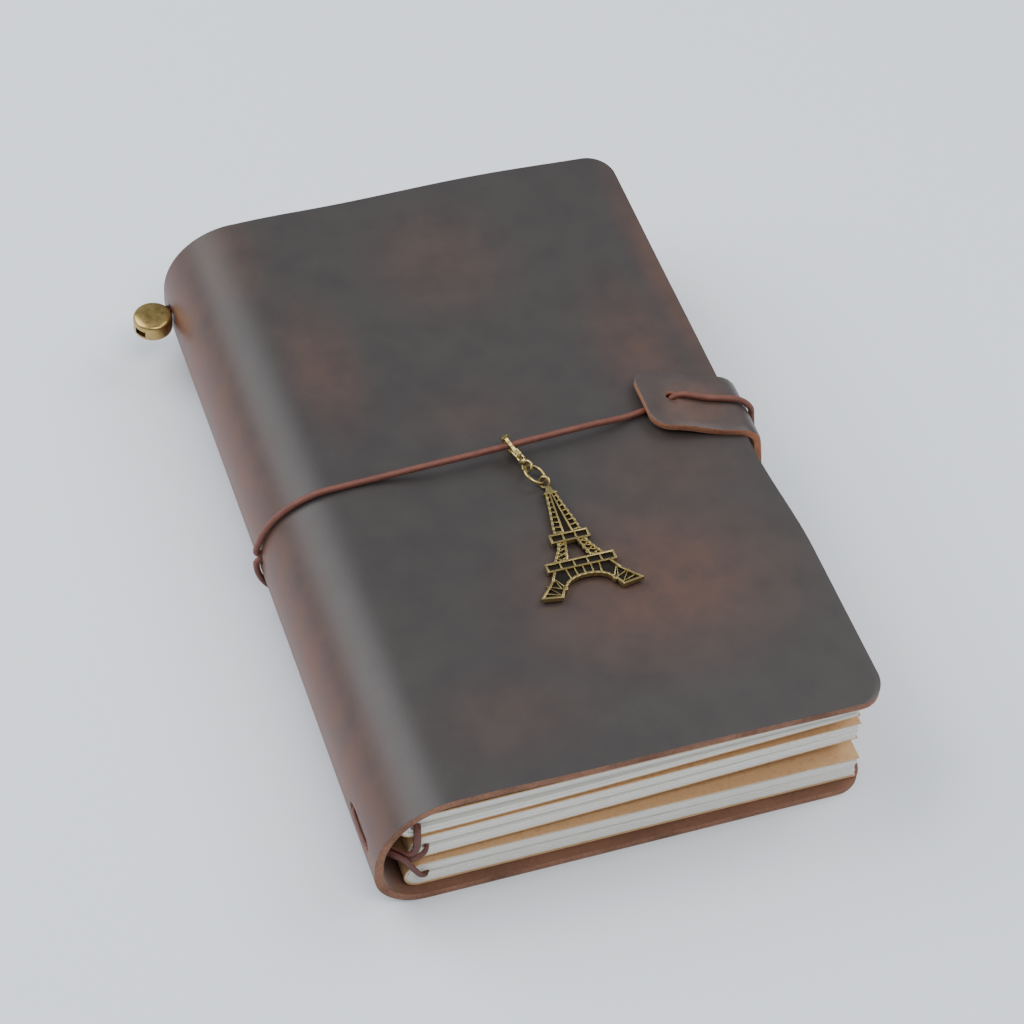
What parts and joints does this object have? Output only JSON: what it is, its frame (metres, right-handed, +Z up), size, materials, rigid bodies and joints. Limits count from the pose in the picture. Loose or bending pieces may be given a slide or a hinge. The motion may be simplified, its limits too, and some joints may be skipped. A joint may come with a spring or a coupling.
{
  "type": "refillable leather notebook",
  "caption": "Refillable folded leather notebook cover with stapled booklets on a binding elastic, a closing cord with leather tab, a tower charm on a clasp and a brass bead.",
  "frame": {"origin": "centre of the closed notebook's box, on the surface it lies on", "axes": "+X from the spine to the fore-edge, +Y from the foot to the head of the book, +Z up through the closed book from the back cover to the front cover"},
  "size_m": [0.1457, 0.2, 0.0435],
  "materials": {
    "leather": "waxed, satin",
    "tab leather": "waxed, satin",
    "kraft card": "matt",
    "paper": "matt",
    "staple wire": "bright",
    "dark elastic": "woven",
    "closing cord": "woven, waxed",
    "aged brass": "antiqued, dark in its recesses",
    "bead brass": "brushed, worn"
  },
  "bodies": {
    "back": {"back_cover": "leather", "back_bend": "leather", "booklet_3_card": "kraft card", "booklet_3_pages": "paper", "booklet_3_staples": "staple wire", "booklet_2_card_back": "kraft card", "booklet_2_pages_back": "paper", "booklet_2_card_fold": "kraft card", "booklet_2_pages_fold": "paper", "booklet_2_staples": "staple wire", "binding_loop_2": "dark elastic", "binding_loop_3": "dark elastic"},
    "spine": {"spine_leather": "leather", "front_bend": "leather", "binding_stitch": "dark elastic", "cord_knot": "closing cord"},
    "front": {"front_cover": "leather", "booklet_1_card": "kraft card", "booklet_1_pages": "paper", "booklet_1_staples": "staple wire", "binding_loop_1": "dark elastic", "closing_cord_front": "closing cord", "tab": "tab leather"},
    "booklet_2_front": {"booklet_2_card_front": "kraft card", "booklet_2_pages_front": "paper"},
    "loop_back": {"closing_cord_back": "closing cord"},
    "clasp": {"clasp_body": "aged brass", "clasp_rivet": "aged brass", "clasp_spring": "staple wire"},
    "lever": {"clasp_lever": "aged brass"},
    "ring": {"jump_ring": "aged brass"},
    "charm": {"tower_charm": "aged brass"},
    "bead": {"bead": "bead brass", "binding_tail": "dark elastic"}
  },
  "joints": [
    {"name": "spine_fold", "type": "hinge", "parent": "back", "child": "spine", "pos_m": [-0.05273, 0, 0.00902], "axis": [0, -1, 0], "range_deg": [0, 87], "deforming": ["back_bend", "front_bend", "booklet_2_card_fold", "booklet_2_pages_fold", "booklet_2_staples", "binding_loop_1", "binding_loop_2", "binding_loop_3", "closing_cord_front", "closing_cord_back", "tab"]},
    {"name": "front_fold", "type": "hinge", "parent": "spine", "child": "front", "pos_m": [-0.05273, 0, 0.02858], "axis": [0, -1, 0], "range_deg": [0, 87]},
    {"name": "booklet_2_fold", "type": "hinge", "parent": "back", "child": "booklet_2_front", "pos_m": [-0.04907, 0, 0.0181], "axis": [0, -1, 0], "range_deg": [0, 174]},
    {"name": "loop_slip", "type": "slide", "parent": "front", "child": "loop_back", "axis": [0, 0, 1], "range_m": [0, 0.039]},
    {"name": "clasp_slide", "type": "slide", "parent": "front", "child": "clasp", "axis": [0.9986, 0.0504, -0.013], "range_m": [-0.018, 0.018]},
    {"name": "clasp_lever", "type": "hinge", "parent": "clasp", "child": "lever", "pos_m": [0.00545, -0.0035, 0.04105], "axis": [0.9002, 0.2225, 0.3744], "range_deg": [0, 22], "stiffness_Nm_per_rad": 0.002, "springref_deg": -17.19},
    {"name": "ring_swing", "type": "hinge", "parent": "clasp", "child": "ring", "pos_m": [0.00673, -0.00702, 0.04008], "axis": [-1, 0, 0], "range_deg": [0, 45]},
    {"name": "charm_swing", "type": "hinge", "parent": "ring", "child": "charm", "pos_m": [0.00981, -0.012, 0.03844], "axis": [-1, 0, 0], "range_deg": [0, 26]},
    {"name": "bead_pull", "type": "slide", "parent": "spine", "child": "bead", "axis": [-1, 0, 0], "range_m": [0, 0.012], "stiffness_N_per_m": 60}
  ],
  "couplings": [
    {"joint": "front_fold", "follows": "spine_fold", "ratio": 1},
    {"joint": "booklet_2_fold", "follows": "spine_fold", "ratio": 2},
    {"joint": "loop_slip", "follows": "spine_fold", "m_per_rad": 0.0254}
  ]
}
